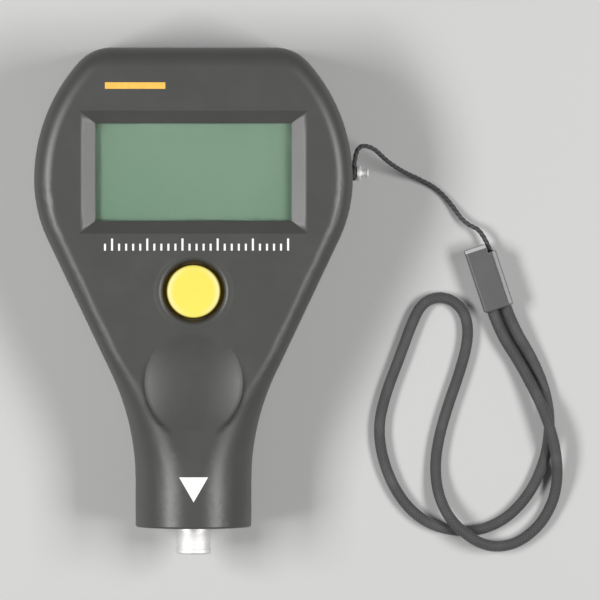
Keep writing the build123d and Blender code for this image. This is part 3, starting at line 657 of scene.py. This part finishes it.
def ink(name, colour):
    """Screen-printed ink: nearly matt, slightly uneven in cover."""
    material, tree, shader = new_material(name)
    cover = noise(coordinates(tree), 1500.0, 4.0)
    base = scaled(colour, remap(cover, 0.3, 0.7, 0.9, 1.04))
    dress(shader, cover, 0.006, Base_Color=base, Roughness=0.5)
    return material


def floor_paint():
    """Pale matt studio floor."""
    material, tree, shader = new_material("floor_paint")
    cloud = noise(coordinates(tree), 6.0, 3.0)
    base = scaled((0.50, 0.50, 0.496), remap(cloud, 0.3, 0.7, 0.985, 1.0))
    feed_all(shader.inputs, Base_Color=base, Roughness=0.75)
    return material


# Finish of each material slot, and of the post, whose lines of turning run another way and whose
# plating is lighter than the socket's, a painted highlight along its barrel
materials = {
    "casing": casing_plastic(),
    "window": window_clear(),
    "display_glass": display_glass(),
    "inner_plastic": inner_plastic(),
    "strip_rubber": strip_rubber(),
    "board": board_mask(),
    "chip_plastic": chip_plastic(),
    "steel": metal("zinc_steel", (0.56, 0.56, 0.55), roughness=0.32),
    "button": button_plastic(),
    "cell_jacket": cell_jacket(),
    "lead_sleeve": lead_sleeve(),
    "plated_metal": metal(
        "nickel_plating", (0.84, 0.835, 0.825), roughness=0.60, relief=0.0008,
        stretch=(0.04, 1.0, 0.04),
    ),
    "contact_metal": metal("gilt_contacts", (0.83, 0.62, 0.26), roughness=0.25),
    "plug_plastic": plug_plastic(),
    "strap_braid": cord_fibre("cord_braid", (0.060, 0.060, 0.060), ripples=5200.0, slant=22.0),
    "slider_plastic": slider_plastic(),
}
# painted highlight: the post's plating is lighter than the socket's, and rougher
post_plating = metal(
    "post_plating", (0.92, 0.915, 0.905), roughness=0.68, relief=0.0008, stretch=(1.0, 0.04, 0.04)
)


# Mesh building

def grid_quads(rows, columns, closed=False):
    """Quads between neighbouring points of a grid whose columns close into a ring.

    Corner of a quad = row x columns + column, with the next column taken round the ring, and
    the next row too where the rows are closed.
    """
    last = rows if closed else rows - 1
    row, column = np.meshgrid(np.arange(last), np.arange(columns), indexing="ij")
    after, above = (column + 1) % columns, (row + 1) % rows
    corners = [row * columns + column, row * columns + after]
    corners += [above * columns + after, above * columns + column]
    return np.stack(corners, axis=-1).reshape(-1, 4)


def ring_caps(rows, columns):
    """Triangles from the first and the last ring of a grid to one middle point for each."""
    column = np.arange(columns)
    after = (column + 1) % columns
    first, last = rows * columns, rows * columns + 1
    low = np.stack([after, column, np.full(columns, first)], axis=-1)
    start = (rows - 1) * columns
    high = np.stack([start + column, start + after, np.full(columns, last)], axis=-1)
    return np.concatenate([low, high])


def in_scene(name, data):
    """Object for a mesh, a curve, a lamp or a camera, linked to the scene."""
    made = bpy.data.objects.new(name, data)
    bpy.context.scene.collection.objects.link(made)
    return made


def link_piece(mesh, material, body):
    """Object for a finished mesh, at the origin, on its body and with its finish."""
    mesh.materials.append(material)
    piece = in_scene(mesh.name, mesh)
    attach(piece, body)
    return piece


def stand_in(mesh, node, material=None):
    """Object for a finished mesh that stands for a CAD node, on that node's body."""
    slot = node_slot[node]
    piece = link_piece(mesh, material or materials[slot], node_body[node])
    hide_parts(node)
    return piece


def shade_smooth(mesh, angle):
    """Smooth normals, apart from edges sharper than an angle in degrees."""
    mesh.polygons.foreach_set("use_smooth", np.ones(len(mesh.polygons), bool))
    mesh.set_sharp_from_angle(angle=math.radians(angle))


def new_mesh(name, points, faces, angle=None):
    """Mesh of points and faces, with smooth normals where an angle is given."""
    mesh = bpy.data.meshes.new(name)
    mesh.from_pydata(points.reshape(-1, 3).tolist(), [], faces)
    if angle:
        shade_smooth(mesh, angle)
    return mesh


def vertex_places(mesh):
    """Coordinates of a mesh's points, shape (count, 3)."""
    places = np.empty(len(mesh.vertices) * 3, np.float32)
    mesh.vertices.foreach_get("co", places)
    return places.reshape(-1, 3)


def taken_mesh(holder):
    """Mesh of an object with its modifiers applied; the object itself goes."""
    graph = bpy.context.evaluated_depsgraph_get()
    mesh = bpy.data.meshes.new_from_object(holder.evaluated_get(graph))
    bpy.data.objects.remove(holder)
    return mesh


def ringed_mesh(name, points, along, angle=35, crown=None):
    """Closed mesh from rings of points, shape (rows, columns, 3), with its two ends closed.

    Its UV map holds the distance along it, from the given row values, and turns round it. The
    crown is each point's share of a strand's height, kept as an attribute.
    """
    rows, columns = points.shape[:2]
    middles = np.stack([points[0].mean(axis=0), points[-1].mean(axis=0)])
    everything = np.concatenate([points.reshape(-1, 3), middles])
    faces = grid_quads(rows, columns).tolist() + ring_caps(rows, columns).tolist()
    mesh = new_mesh(name, everything, faces, angle)
    row, column = np.meshgrid(np.arange(rows - 1), np.arange(columns), indexing="ij")
    u = np.stack([along[row], along[row], along[row + 1], along[row + 1]], axis=-1)
    v = np.stack([column, column + 1, column + 1, column], axis=-1) / columns
    quad_uv = np.stack([u, v], axis=-1).reshape(-1, 2)
    cap_u = np.repeat([along[0], along[-1]], 3 * columns)
    cap_uv = np.stack([cap_u, np.zeros_like(cap_u)], axis=-1)
    layer = mesh.uv_layers.new(name="along_and_round")
    layer.data.foreach_set("uv", np.concatenate([quad_uv, cap_uv]).astype(np.float32).ravel())
    if crown is not None:
        shares = mesh.attributes.new("crown", "FLOAT", "POINT")
        shares.data.foreach_set("value", np.append(crown, (1.0, 1.0)).astype(np.float32))
    mesh.validate()
    return mesh


def turned_points(profile, steps, origin, axis, side):
    """Points of a turned piece: origin + h axis + r (cos t side + sin t other).

    The profile's corners are (radius, height) pairs, and t goes once round in equal steps.
    """
    axis, side = np.array(axis, float), np.array(side, float)
    other = np.cross(axis, side)
    t = np.linspace(0, TAU, steps, endpoint=False)[:, None]
    ring = np.cos(t) * side + np.sin(t) * other
    radius, height = np.array(profile, float).T[:, :, None, None]
    return np.array(origin) + height * axis + radius * ring


def turned_mesh(name, profile, steps, origin, axis, side):
    """Closed mesh of a turned piece, whose UV map holds the height along its profile."""
    points = turned_points(profile, steps, origin, axis, side)
    return ringed_mesh(name, points, np.array(profile)[:, 1])


def arc_corners(centre_r, centre_h, radius, start, end, count):
    """Profile corners on an arc: centre + radius (cos a, sin a), a in degrees."""
    a = np.radians(np.linspace(start, end, count))
    return list(zip(centre_r + radius * np.cos(a), centre_h + radius * np.sin(a)))


def welded_mesh(node, angle):
    """Copy of a CAD node's triangles with equal corners joined and smooth normals."""
    weld = 1e-6
    source = frame["nodes"][node].data
    points = vertex_places(source)
    corners = np.empty(len(source.loops), np.int32)
    source.loops.foreach_get("vertex_index", corners)
    steps = np.round(points / weld).astype(np.int64)
    _, first, back = np.unique(steps, axis=0, return_index=True, return_inverse=True)
    triangles = back.reshape(-1)[corners].reshape(-1, 3)
    a, b, c = triangles.T
    triangles = triangles[(a != b) & (b != c) & (c != a)]
    return new_mesh(node + "_finish", points[first], triangles.tolist(), angle)


def even_normals(piece):
    """Large flat faces keep their own normals at rounded edges, by their area and angle."""
    even = piece.modifiers.new("even_normals", "WEIGHTED_NORMAL")
    even.keep_sharp = True
    even.mode = "FACE_AREA_WITH_ANGLE"


def finished_node(node, angle=30):
    """Piece that stands for a CAD node: its welded copy with even normals and its finish."""
    even_normals(stand_in(welded_mesh(node, angle), node))


# Wrist strap

def spline_points(name, route):
    """Points of a NURBS spline of order 3 with a route's points as its control points."""
    curve = bpy.data.curves.new(name, "CURVE")
    curve.dimensions = "3D"
    curve.resolution_u = spline_steps
    spline = curve.splines.new("NURBS")
    spline.points.add(len(route) - 1)
    control = np.ones((len(route), 4))
    control[:, :3] = np.array(route) * MM
    spline.points.foreach_set("co", control.ravel())
    spline.order_u = 3
    spline.use_endpoint_u = True
    line = taken_mesh(in_scene(name, curve))
    points = vertex_places(line).astype(float)
    bpy.data.meshes.remove(line)
    return points


def tube_rings(path, along, side, upper, columns, radius, relief, crown_at):
    """Points of a tube: path + r(s, t) (cos t side + sin t upper), with r = radius - valleys.

    The valleys are the relief times what a crown share, from 0 to 1, leaves. Gives the points
    and the share at each.
    """
    t = np.linspace(0, TAU, columns, endpoint=False)
    s, t = np.meshgrid(along, t, indexing="ij")
    crown = crown_at(s, t)
    radius = (radius - relief * (1 - crown))[..., None]
    ring = np.cos(t)[..., None] * side[:, None, :] + np.sin(t)[..., None] * upper[:, None, :]
    return path[:, None, :] + radius * ring, crown


def braid_crown(s, t):
    """Crown share over a braid of sixteen strands, eight each way.

    Each strand's crown is |sin| across it; the strand that lies on top changes along the cord.
    """
    pitch, strands = 7.0 * MM, 8
    turn = TAU * s / pitch
    right = np.sin(strands * (t + turn) / 2)
    left = np.sin(strands * (t - turn) / 2)
    return np.where(right * left > 0, np.abs(right), np.abs(left)) ** 0.7


def twist_crown(s, t):
    """Crown share over three twisted strands: a rounded three-lobed section that turns."""
    pitch, strands = 4.2 * MM, 3
    return np.abs(np.cos(strands * (t + TAU * s / pitch) / 2))


def strap_tube(name, node, route, columns, diameter, relief, crown_at, buried=0.0):
    """Cord or string along its route, standing for its CAD tube; gives it and its path.

    Its first ring lies a buried length before the path, inside the piece that it comes from.
    The side direction is level, to the left of the path, and the upper one completes the pair.
    """
    path = spline_points(name + "_line", route)
    line = path.copy()
    line[0] -= buried * (path[1] - path[0]) / np.linalg.norm(path[1] - path[0])
    tangent = np.gradient(line, axis=0)
    tangent /= np.linalg.norm(tangent, axis=1)[:, None]
    side = np.cross([0.0, 0.0, 1.0], tangent)
    side /= np.linalg.norm(side, axis=1)[:, None]
    upper = np.cross(tangent, side)
    along = np.concatenate([[0.0], np.cumsum(np.linalg.norm(np.diff(line, axis=0), axis=1))])
    points, crown = tube_rings(line, along, side, upper, columns, diameter / 2, relief, crown_at)
    return stand_in(ringed_mesh(name, points, along, strand_angle, crown), node), path


def hitch_loop():
    """Turn of the string round the neck of the post.

    Centre line: a circle round the post's axis whose two ends lie side by side, a little apart.
    The string is pulled a little thinner there.
    """
    drift, thinner, rings, columns = 0.12 * MM, 0.03 * MM, 97, 16
    low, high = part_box("strap_hitch")
    centre = (low + high) / 2
    ring_radius = (high.z - low.z) / 2 - string_diameter / 2
    a = np.linspace(0, TAU, rings)
    level = np.tile((1.0, 0.0, 0.0), (len(a), 1))
    radial = np.stack([np.zeros_like(a), np.cos(a), np.sin(a)], axis=-1)
    path = np.array(centre) + (drift * np.cos(a / 2))[:, None] * level + ring_radius * radial
    along = ring_radius * a
    radius = string_diameter / 2 - thinner
    tube = path, along, level, radial, columns, radius, twist_relief, twist_crown
    points, crown = tube_rings(*tube)
    return stand_in(ringed_mesh("hitch_loop", points, along, strand_angle, crown), "strap_hitch")


def slider_ring(inset=0.0, ceiling=slider_height):
    """Corners of the slider's section, clockwise from the top of its step.

    A rectangle with rounded corners, a shallow groove in its top and a bevel and a steep facet
    on its right edge, moved inwards by an inset and held under a ceiling; x is from its middle,
    z from the floor.
    """
    w, h, r = slider_half_width, slider_height - inset, slider_edge
    side, (facet_width, facet_height) = w - inset, slider_facet
    lip, floor_from, floor_to, far_lip = slider_groove
    floor = h - slider_groove_depth * (1 - inset / r)
    corners = [(slider_step_x, h), (lip, h), (floor_from, floor), (floor_to, floor), (far_lip, h)]
    corners += [(w - facet_width - slider_bevel, h), (side - facet_width, h - slider_bevel_drop)]
    corners += [(side, slider_height - facet_height - inset)]
    corners += arc_corners(w - r, r, r - inset, 0, -90, 7) + [(slider_step_x, inset)]
    corners += arc_corners(r - w, r, r - inset, -90, -180, 7)
    corners += arc_corners(r - w, slider_height - r, r - inset, 180, 90, 7)
    return np.minimum(corners, (w, ceiling))


def strap_slider():
    """Strap slider: its section carried along the bar, with one corner cut back at the end.

    The end beside the wrist cord is rounded, the other one is bevelled down and given a painted
    highlight, and the long bevel a faint one: a face attribute tells the finish by how much.
    """
    bevel_column, step_foot, edge_share, foot_margin = 5, 15, 0.15, 0.2 * MM
    angles = np.radians(np.linspace(6, 90, 7))
    rings = [slider_ring(slider_edge * (1 - math.sin(a))) for a in angles] + [slider_ring()]
    places = [slider_edge * (1 - math.cos(a)) - slider_half_length for a in angles]
    places += [slider_step_y, slider_half_length - slider_bevel, slider_half_length]
    count, full = len(rings), len(rings[0])
    kept = np.append(np.arange(step_foot, full), 0)
    low = slider_height - slider_bevel_drop
    ends = [slider_ring()[kept], slider_ring(0.0, low)[kept]]
    corners = np.concatenate(rings + ends)
    sizes = [full] * count + [len(kept)] * 2
    y = np.repeat(places, sizes)
    cos, sin = math.cos(slider_lean), math.sin(slider_lean)
    x, z = corners.T
    points = np.stack([x * cos - y * sin, x * sin + y * cos, z]).T + (*slider_place, 0.0)
    starts = np.cumsum([0] + sizes)
    loops = [np.arange(starts[i], starts[i + 1]) for i in range(len(sizes))]
    pairs = list(zip(loops[:count - 1], loops[1:count]))
    pairs += [(loops[count - 1][kept], loops[-2]), (loops[-2], loops[-1])]
    step_wall = loops[count - 1][:step_foot + 1]
    faces = [loops[0][::-1].tolist(), loops[-1].tolist(), step_wall.tolist()]
    painted_highlight = [0.0] * len(faces)
    for number, (near, far) in enumerate(pairs):
        quads = np.stack([near, np.roll(near, -1), np.roll(far, -1), far], axis=-1)
        faces += quads.tolist()
        share = np.zeros(len(quads))
        # painted highlight: faint on the long bevel, full on the bevelled end
        if number < count - 1:
            share[bevel_column] = edge_share
        if number == len(pairs) - 1:
            share[points[quads, 2].max(axis=1) > low + foot_margin] = 1.0
        painted_highlight += share.tolist()
    mesh = new_mesh("strap_slider_bar", points, faces, 18)
    mesh.attributes.new("painted_highlight", "FLOAT", "FACE").data.foreach_set("value", painted_highlight)
    piece = stand_in(mesh, "strap_slider")
    even_normals(piece)
    return piece


def wrist_strap():
    """String with its turn round the post, slider and wrist cord."""
    slider = strap_slider()
    hitch = hitch_loop()
    string, string_path = strap_tube(
        "strap_string_twist", "strap_string", string_route, 24, string_diameter, twist_relief,
        twist_crown, buried=0.4 * MM,
    )
    cord, cord_path = strap_tube(
        "strap_cord_braid", "strap_cord", cord_route, 48, cord_diameter, braid_relief, braid_crown
    )


# Turned parts

def button_lip():
    """Raised rounded lip of the front cover, round the button's hole.

    Profile = half a cosine wave up from the face, then an arc that starts level and falls to
    the hole, then the hole's wall; it closes inside the cover. Towards the display and the
    scoop the wave is shorter, by up to a share of its width.
    """
    hole, foot, crown, arc, rise = 7.51 * MM, 10.5 * MM, 8.9 * MM, 1.4 * MM, 0.1 * MM
    sunk, root, wall, shorter = 0.02 * MM, 0.2 * MM, 1.3 * MM, 0.55
    low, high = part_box("measure_button")
    centre = (low + high) / 2
    u = np.linspace(0, 1, 12)
    wave = casing_top - sunk + (rise + sunk) * (1 - np.cos(math.pi * u)) / 2
    profile = [(foot, casing_top - root)] + list(zip(foot + u * (crown - foot), wave))
    end = 90 + math.degrees(math.asin((crown - hole) / arc))
    profile += arc_corners(crown, casing_top + rise - arc, arc, 90, end, 20)[1:]
    profile += [(hole, casing_top - wall)]
    points = turned_points(profile, 128, (0, 0, 0), (0, 0, 1), (1, 0, 0))
    radius = np.linalg.norm(points[..., :2], axis=-1)
    narrow = 1 - shorter * (points[..., 1] / radius) ** 2
    held = np.where(radius > crown, crown + (radius - crown) * narrow, radius) / radius
    points[..., :2] = points[..., :2] * held[..., None] + (centre.x, centre.y)
    mesh = new_mesh("button_lip", points, grid_quads(*points.shape[:2], True).tolist(), 35)
    link_piece(mesh, materials["casing"], "housing")


def strap_post():
    """Plated post: shank, bare neck, chamfered flange, waisted tip with a rounded bead."""
    axle, shank, bare, rim = 0.05 * MM, 1.0 * MM, 0.8 * MM, 1.95 * MM
    waist, bead, small, large = 0.95 * MM, 1.1 * MM, 0.12 * MM, 0.3 * MM
    low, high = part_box("strap_post")
    start, end = low.x, high.x
    neck, flange, tip = end - 4.25 * MM, end - 3.0 * MM, end - 2.0 * MM
    profile = [(axle, start), (shank, start), (shank, neck), (bare, neck), (bare, flange)]
    profile += [(rim - small, flange), (rim, flange + small)]
    profile += [(rim, tip - large), (rim - large, tip)]
    profile += [(waist + 0.15 * MM, tip), (waist, tip + small), (waist, end - 0.85 * MM)]
    profile += arc_corners(bead - large, end - 0.35 * MM, 0.33 * MM, -40, 90, 8)
    profile += [(axle, end)]
    origin = (0.0, post_y, post_z)
    mesh = turned_mesh("strap_post_turned", profile, 48, origin, (1, 0, 0), (0, 1, 0))
    stand_in(mesh, "strap_post", post_plating)


def battery_cells():
    """Four round cells: crimped jacket, insulating ring and raised end, the ways alternating."""
    axle, dent, crimp, nub_edge = 0.05 * MM, 0.25 * MM, 0.5 * MM, 0.3 * MM
    nub_height, ring_sunk = 1.2 * MM, 0.2 * MM
    for number in range(1, 5):
        node = f"battery_cell_{number}"
        low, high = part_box(node)
        centre = (low + high) / 2
        radius, length = (high.x - low.x) / 2, high.y - low.y
        inner, shoulder = radius - crimp, length - nub_height
        profile = [(axle, dent), (radius - 1.9 * MM, dent), (radius - 1.6 * MM, 0.0)]
        profile += [(inner, 0.0)] + arc_corners(inner, crimp, crimp, -80, 0, 5)
        profile += arc_corners(inner, shoulder - crimp, crimp, 0, 90, 5)
        profile += [(radius - 1.3 * MM, shoulder), (radius - 1.5 * MM, shoulder - ring_sunk)]
        profile += [(2.4 * MM, shoulder - ring_sunk), (2.1 * MM, shoulder)]
        profile += [(1.9 * MM, shoulder + 0.1 * MM)]
        profile += arc_corners(1.6 * MM, length - nub_edge, nub_edge, 0, 90, 4)
        profile += [(axle, length)]
        way, start = (1, low.y) if number % 2 else (-1, high.y)
        name, origin = node + "_jacketed", (centre.x, start, centre.z)
        stand_in(turned_mesh(name, profile, 64, origin, (0, way, 0), (1, 0, 0)), node)


# Print on the front face

def sheet_grid(outline, step):
    """Points and quads of a flat four-sided outline, cut into small fields.

    Place = (1-i)(1-j) a + i(1-j) b + ij c + (1-i)j d, with i and j running from 0 to 1.
    """
    start_height = casing_top + 2 * MM
    across, up = np.maximum(2, np.ceil(np.ptp(outline, axis=0) / step).astype(int) + 1)
    i, j = np.meshgrid(np.linspace(0, 1, across), np.linspace(0, 1, up), indexing="ij")
    a, b, c, d = outline
    flat = (
        ((1 - i) * (1 - j))[..., None] * a + (i * (1 - j))[..., None] * b
        + (i * j)[..., None] * c + ((1 - i) * j)[..., None] * d
    )
    points = np.concatenate([flat, np.full((*i.shape, 1), start_height)], axis=-1)
    row, column = np.meshgrid(np.arange(across - 1), np.arange(up - 1), indexing="ij")
    corners = [row * up + column, (row + 1) * up + column]
    corners += [(row + 1) * up + column + 1, row * up + column + 1]
    return points.reshape(-1, 3), np.stack(corners, axis=-1).reshape(-1, 4)


def projected_sheet(name, outlines, material):
    """Thin layer of ink that follows the front cover under flat outlines.

    The outlines are dropped on the cover along Z, lifted by a hair and given the thickness of
    a screen print.
    """
    lift, thickness, step = 0.012 * MM, 0.02 * MM, 0.5 * MM
    points, quads = [], []
    for outline in outlines:
        grid, fields = sheet_grid(outline, step)
        quads.append(fields + sum(len(part) for part in points))
        points.append(grid)
    flat = new_mesh(name + "_flat", np.concatenate(points), np.concatenate(quads).tolist())
    holder = in_scene(flat.name, flat)
    drop = holder.modifiers.new("drop", "SHRINKWRAP")
    drop.wrap_method = "PROJECT"
    drop.use_project_z = True
    drop.use_negative_direction = True
    drop.use_positive_direction = False
    drop.target = bpy.data.objects["front_cover_finish"]
    drop.offset = lift
    solid = holder.modifiers.new("ink", "SOLIDIFY")
    solid.thickness = thickness
    solid.offset = 1.0
    final = taken_mesh(holder)
    final.name = name
    shade_smooth(final, 35)
    link_piece(final, material, "housing")


def quad_between(x0, y0, x1, y1):
    """Corners of an upright rectangle."""
    return np.array([(x0, y0), (x1, y0), (x1, y1), (x0, y1)]) * MM


def front_print():
    """Plain print: an amber pinstripe, a row of graduation marks and a triangle at the socket."""
    amber = ink("amber_ink", (0.86, 0.47, 0.08))
    white = ink("white_ink", (0.82, 0.82, 0.80))
    projected_sheet("print_pinstripe", [quad_between(*stripe_corners)], amber)
    marks = []
    for number, x in enumerate(np.linspace(*mark_row, mark_count)):
        top = mark_foot + mark_heights[number % 5 == 1]
        marks.append(quad_between(x - mark_half_width, mark_foot, x + mark_half_width, top))
    projected_sheet("print_graduation", marks, white)
    projected_sheet("print_triangle", [np.array(triangle_corners) * MM], white)


# Studio

def studio_floor():
    """Pale floor, a hair under the object."""
    half, height = floor_half_width, -0.05 * MM
    corners = [(x * half, y * half, height) for x, y in ((-1, -1), (1, -1), (1, 1), (-1, 1))]
    floor = in_scene("floor", new_mesh("floor", np.array(corners), [(0, 1, 2, 3)]))
    floor.data.materials.append(floor_paint())


def aim(holder, place, target):
    """Puts a camera or lamp at a place, looking at a target, with its upper side to +Y."""
    z = (Vector(place) - Vector(target)).normalized()
    x = Vector((0, 1, 0)).cross(z).normalized()
    y = z.cross(x)
    turn = Matrix((x, y, z)).transposed().to_4x4()
    holder.matrix_world = Matrix.Translation(place) @ turn


def studio_lights():
    """Two softboxes, left and a little weaker right, half way down, and a weak fill."""
    lean = math.radians(lamp_lean)
    for name, side, power in lamps:
        lamp = bpy.data.lights.new(name, "AREA")
        lamp.shape = "RECTANGLE"
        lamp.size, lamp.size_y = lamp_size
        lamp.energy = power
        place = (side * lamp_distance * math.sin(lean), 0.0, lamp_distance * math.cos(lean))
        aim(in_scene(name, lamp), place, lamp_target)
    world = bpy.data.worlds.new("studio")
    world.use_nodes = True
    background = world.node_tree.nodes["Background"]
    background.inputs["Color"].default_value = (1.0, 1.0, 1.0, 1.0)
    background.inputs["Strength"].default_value = fill_strength
    bpy.context.scene.world = world


def studio_camera():
    """Camera at the photograph's viewpoint, with a lens that frames the object."""
    low, high = cad_box
    camera = bpy.data.cameras.new("camera")
    distance = (Vector(camera_place) - Vector(camera_target)).length
    span = max(high.x - low.x, high.y - low.y) / picture_fill
    camera.sensor_width = 36.0
    camera.lens = camera.sensor_width * distance / span
    camera.clip_start = 0.01
    holder = in_scene("camera", camera)
    aim(holder, camera_place, camera_target)
    bpy.context.scene.camera = holder
    bpy.context.scene.view_settings.view_transform = "Standard"


studio_camera()
wrist_strap()
for cover in ("front_cover", "rear_cover", "battery_door"):
    finished_node(cover, 28)
for plain_node in (
    "display_window", "lcd_panel", "lcd_frame", "lcd_strip_upper", "lcd_strip_lower",
    "circuit_board", "processor_chip", "amplifier_chip", "timing_crystal", "board_capacitors",
    "measure_button", "switch_plunger", "switch_body", "switch_dome", "contact_springs",
    "contact_plates", "battery_leads", "housing_screws", "board_screws", "socket_shell",
    "socket_insert", "socket_contacts", "socket_washer", "socket_nut", "socket_cable",
    "cable_plug",
):
    finished_node(plain_node)
button_lip()
strap_post()
battery_cells()
front_print()
studio_floor()
studio_lights()
